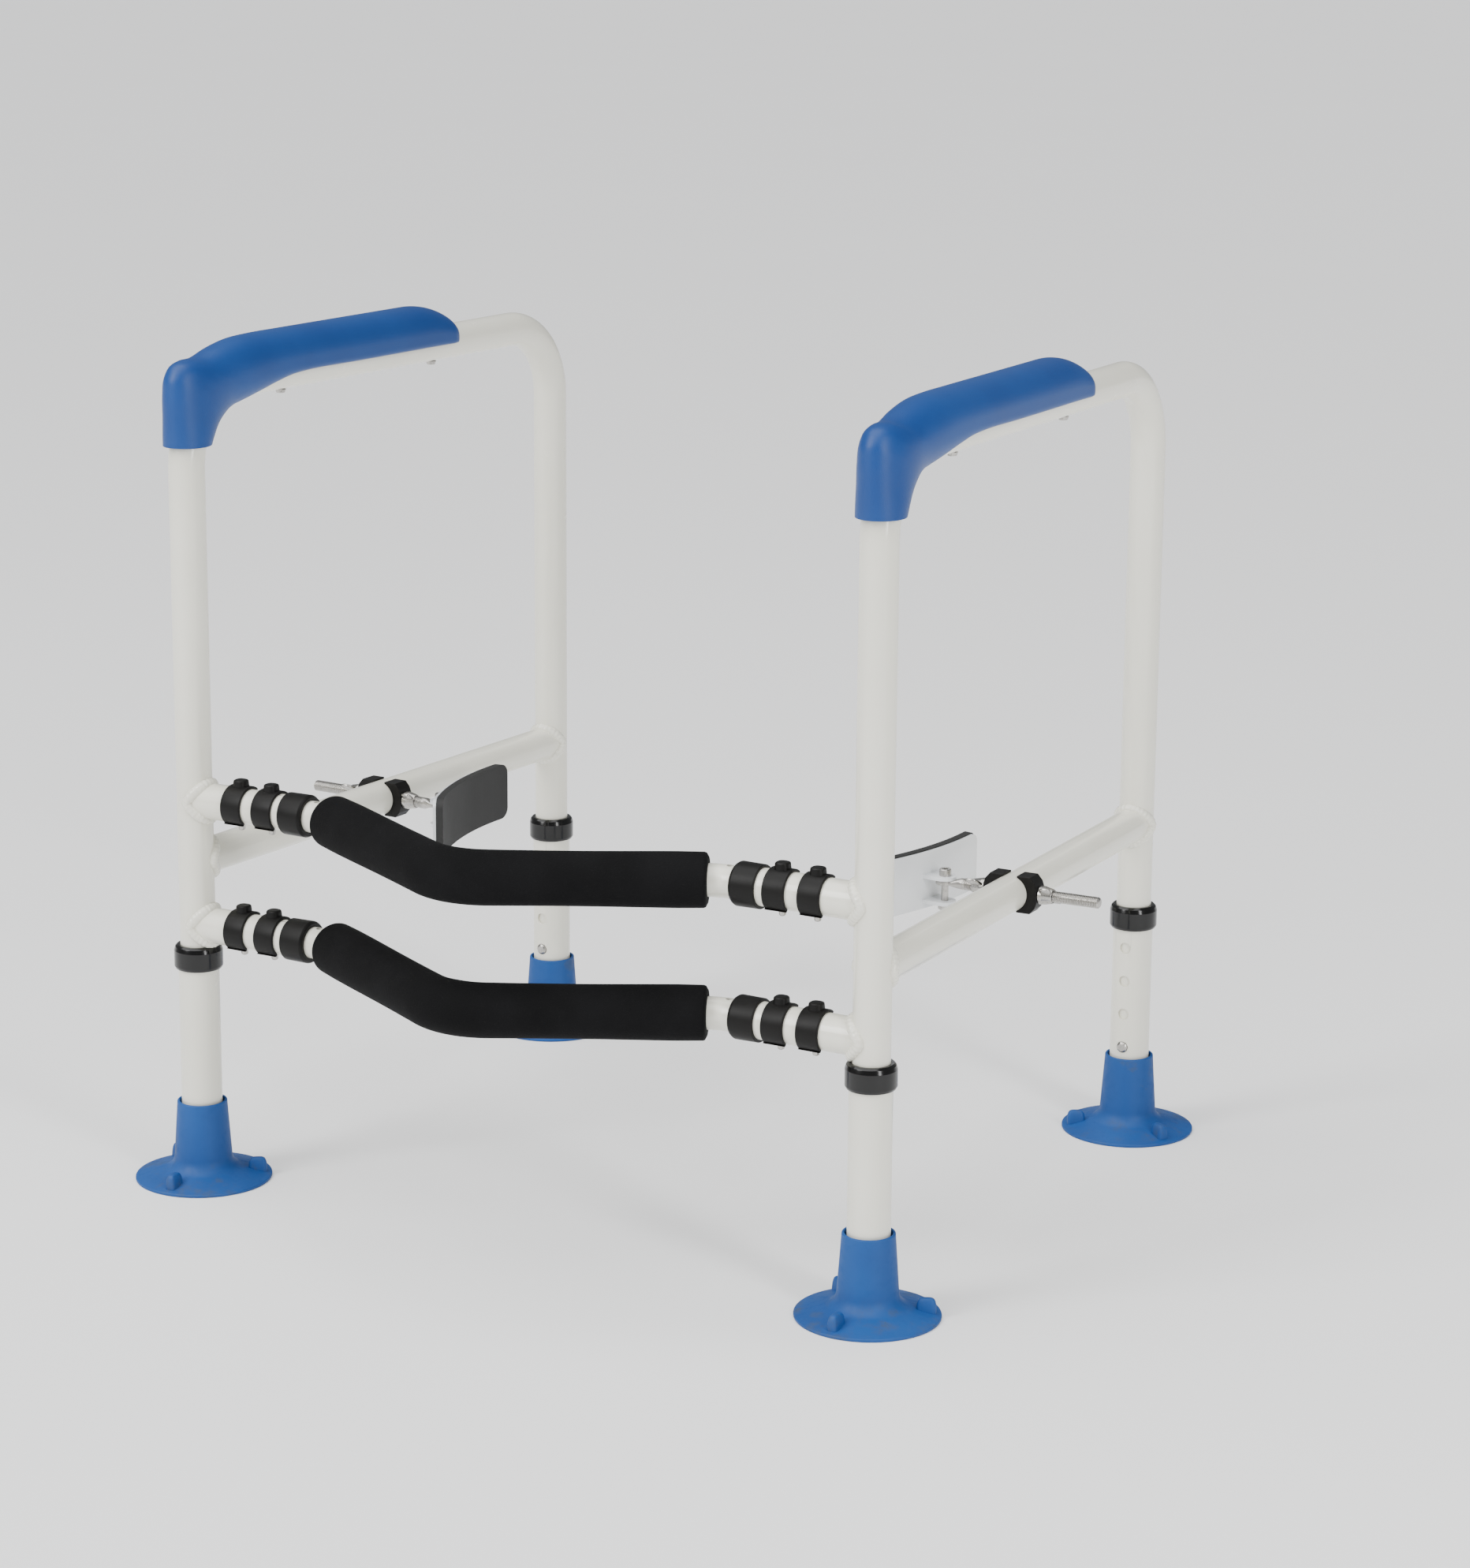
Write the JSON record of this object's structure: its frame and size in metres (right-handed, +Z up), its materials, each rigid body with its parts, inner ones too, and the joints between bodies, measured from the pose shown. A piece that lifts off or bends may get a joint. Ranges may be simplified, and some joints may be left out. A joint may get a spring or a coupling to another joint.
{
  "type": "toilet safety frame",
  "caption": "Free-standing toilet frame: bent tube sides on telescopic legs, padded armrests, bowed front bars in foam, screw clamps for the bowl.",
  "frame": {"origin": "floor level, at the middle of the frame's outer box seen from above", "axes": "+X to the viewer's right when facing the front bars, +Y from the front bars to the open rear, +Z up"},
  "size_m": [0.6546, 0.5902, 0.6],
  "materials": {
    "coated_tube": "gloss powder coat",
    "grip": "fine grained moulded skin",
    "foot_rubber": "matt moulded rubber",
    "gloss_collar": "gloss",
    "matt_black": "matt moulded",
    "foam": "closed cell foam",
    "steel": "bright",
    "zinc_steel": "zinc plated",
    "stainless": "polished thread",
    "white_paint": "smooth paint",
    "black_rubber": "matt"
  },
  "bodies": {
    "front_bars": {"upper_bar": "coated_tube", "lower_bar": "coated_tube", "upper_foam": "foam", "lower_foam": "foam"},
    "side_left": {"side_tube_left": "coated_tube", "side_rail_left": "coated_tube", "bar_sockets_left": "coated_tube", "socket_collars_left": "matt_black", "armrest_grip_left": "grip", "grip_screws_left": "zinc_steel", "saddle_washers_left": "matt_black"},
    "side_right": {"side_tube_right": "coated_tube", "side_rail_right": "coated_tube", "bar_sockets_right": "coated_tube", "socket_collars_right": "matt_black", "armrest_grip_right": "grip", "grip_screws_right": "zinc_steel", "saddle_washers_right": "matt_black"},
    "leg_front_left": {"leg_tube_front_left": "coated_tube", "leg_collar_front_left": "gloss_collar", "foot_front_left": "foot_rubber"},
    "button_front_left": {"snap_button_front_left": "zinc_steel"},
    "leg_rear_left": {"leg_tube_rear_left": "coated_tube", "leg_collar_rear_left": "gloss_collar", "foot_rear_left": "foot_rubber"},
    "button_rear_left": {"snap_button_rear_left": "zinc_steel"},
    "leg_front_right": {"leg_tube_front_right": "coated_tube", "leg_collar_front_right": "gloss_collar", "foot_front_right": "foot_rubber"},
    "button_front_right": {"snap_button_front_right": "zinc_steel"},
    "leg_rear_right": {"leg_tube_rear_right": "coated_tube", "leg_collar_rear_right": "gloss_collar", "foot_rear_right": "foot_rubber"},
    "button_rear_right": {"snap_button_rear_right": "zinc_steel"},
    "clip_upper_inner_left": {"clip_upper_inner_left": "matt_black", "pin_upper_inner_left": "steel"},
    "clip_upper_outer_left": {"clip_upper_outer_left": "matt_black", "pin_upper_outer_left": "steel"},
    "clip_lower_inner_left": {"clip_lower_inner_left": "matt_black", "pin_lower_inner_left": "steel"},
    "clip_lower_outer_left": {"clip_lower_outer_left": "matt_black", "pin_lower_outer_left": "steel"},
    "clip_upper_inner_right": {"clip_upper_inner_right": "matt_black", "pin_upper_inner_right": "steel"},
    "clip_upper_outer_right": {"clip_upper_outer_right": "matt_black", "pin_upper_outer_right": "steel"},
    "clip_lower_inner_right": {"clip_lower_inner_right": "matt_black", "pin_lower_inner_right": "steel"},
    "clip_lower_outer_right": {"clip_lower_outer_right": "matt_black", "pin_lower_outer_right": "steel"},
    "rod_left": {"clamp_rod_left": "stainless"},
    "nuts_left": {"wing_nuts_left": "stainless"},
    "plate_left": {"clamp_plate_left": "white_paint", "clamp_pad_left": "black_rubber", "swivel_bolt_left": "stainless"},
    "rod_right": {"clamp_rod_right": "stainless"},
    "nuts_right": {"wing_nuts_right": "stainless"},
    "plate_right": {"clamp_plate_right": "white_paint", "clamp_pad_right": "black_rubber", "swivel_bolt_right": "stainless"}
  },
  "joints": [
    {"name": "width_left", "type": "slide", "parent": "front_bars", "child": "side_left", "axis": [-1, 0, 0], "range_m": [0, 0.039]},
    {"name": "width_right", "type": "slide", "parent": "front_bars", "child": "side_right", "axis": [1, 0, 0], "range_m": [0, 0.039]},
    {"name": "leg_height_front_left", "type": "slide", "parent": "side_left", "child": "leg_front_left", "axis": [0, 0, -1], "range_m": [0, 0.0762]},
    {"name": "button_press_front_left", "type": "slide", "parent": "side_left", "child": "button_front_left", "axis": [-0.0349, -0.9994, 0], "range_m": [0, 0.0036], "stiffness_N_per_m": 1500, "deforming": ["snap_button_front_left"]},
    {"name": "leg_height_rear_left", "type": "slide", "parent": "side_left", "child": "leg_rear_left", "axis": [0, 0, -1], "range_m": [0, 0.0762]},
    {"name": "button_press_rear_left", "type": "slide", "parent": "side_left", "child": "button_rear_left", "axis": [0.0349, 0.9994, 0], "range_m": [0, 0.0036], "stiffness_N_per_m": 1500, "deforming": ["snap_button_rear_left"]},
    {"name": "leg_height_front_right", "type": "slide", "parent": "side_right", "child": "leg_front_right", "axis": [0, 0, -1], "range_m": [0, 0.0762]},
    {"name": "button_press_front_right", "type": "slide", "parent": "side_right", "child": "button_front_right", "axis": [0.0349, -0.9994, 0], "range_m": [0, 0.0036], "stiffness_N_per_m": 1500, "deforming": ["snap_button_front_right"]},
    {"name": "leg_height_rear_right", "type": "slide", "parent": "side_right", "child": "leg_rear_right", "axis": [0, 0, -1], "range_m": [0, 0.0762]},
    {"name": "button_press_rear_right", "type": "slide", "parent": "side_right", "child": "button_rear_right", "axis": [-0.0349, 0.9994, 0], "range_m": [0, 0.0036], "stiffness_N_per_m": 1500, "deforming": ["snap_button_rear_right"]},
    {"name": "pull_clip_upper_inner_left", "type": "slide", "parent": "side_left", "child": "clip_upper_inner_left", "axis": [0, 0, 1], "range_m": [0, 0.034], "deforming": ["clip_upper_inner_left"]},
    {"name": "pull_clip_upper_outer_left", "type": "slide", "parent": "side_left", "child": "clip_upper_outer_left", "axis": [0, 0, 1], "range_m": [0, 0.034], "deforming": ["clip_upper_outer_left"]},
    {"name": "pull_clip_lower_inner_left", "type": "slide", "parent": "side_left", "child": "clip_lower_inner_left", "axis": [0, 0, 1], "range_m": [0, 0.034], "deforming": ["clip_lower_inner_left"]},
    {"name": "pull_clip_lower_outer_left", "type": "slide", "parent": "side_left", "child": "clip_lower_outer_left", "axis": [0, 0, 1], "range_m": [0, 0.034], "deforming": ["clip_lower_outer_left"]},
    {"name": "pull_clip_upper_inner_right", "type": "slide", "parent": "side_right", "child": "clip_upper_inner_right", "axis": [0, 0, 1], "range_m": [0, 0.034], "deforming": ["clip_upper_inner_right"]},
    {"name": "pull_clip_upper_outer_right", "type": "slide", "parent": "side_right", "child": "clip_upper_outer_right", "axis": [0, 0, 1], "range_m": [0, 0.034], "deforming": ["clip_upper_outer_right"]},
    {"name": "pull_clip_lower_inner_right", "type": "slide", "parent": "side_right", "child": "clip_lower_inner_right", "axis": [0, 0, 1], "range_m": [0, 0.034], "deforming": ["clip_lower_inner_right"]},
    {"name": "pull_clip_lower_outer_right", "type": "slide", "parent": "side_right", "child": "clip_lower_outer_right", "axis": [0, 0, 1], "range_m": [0, 0.034], "deforming": ["clip_lower_outer_right"]},
    {"name": "clamp_feed_left", "type": "slide", "parent": "side_left", "child": "rod_left", "axis": [0.9994, -0.0349, 0], "range_m": [-0.008, 0.03]},
    {"name": "nut_turn_left", "type": "hinge", "parent": "side_left", "child": "nuts_left", "pos_m": [-0.26225, 0.02448, 0.2356], "axis": [0.9994, -0.0349, 0], "range_deg": [-8700, 2400]},
    {"name": "plate_swivel_left", "type": "hinge", "parent": "rod_left", "child": "plate_left", "pos_m": [-0.21028, 0.02266, 0.2356], "axis": [0, 0, 1], "range_deg": [-38, 12]},
    {"name": "clamp_feed_right", "type": "slide", "parent": "side_right", "child": "rod_right", "axis": [-0.9994, -0.0349, 0], "range_m": [-0.008, 0.03]},
    {"name": "nut_turn_right", "type": "hinge", "parent": "side_right", "child": "nuts_right", "pos_m": [0.26225, 0.02448, 0.2356], "axis": [-0.9994, -0.0349, 0], "range_deg": [-8700, 2400]},
    {"name": "plate_swivel_right", "type": "hinge", "parent": "rod_right", "child": "plate_right", "pos_m": [0.21028, 0.02266, 0.2356], "axis": [0, 0, 1], "range_deg": [-12, 38]}
  ],
  "couplings": [
    {"joint": "nut_turn_left", "follows": "clamp_feed_left", "rad_per_m": -5026.5},
    {"joint": "nut_turn_right", "follows": "clamp_feed_right", "rad_per_m": -5026.5}
  ]
}
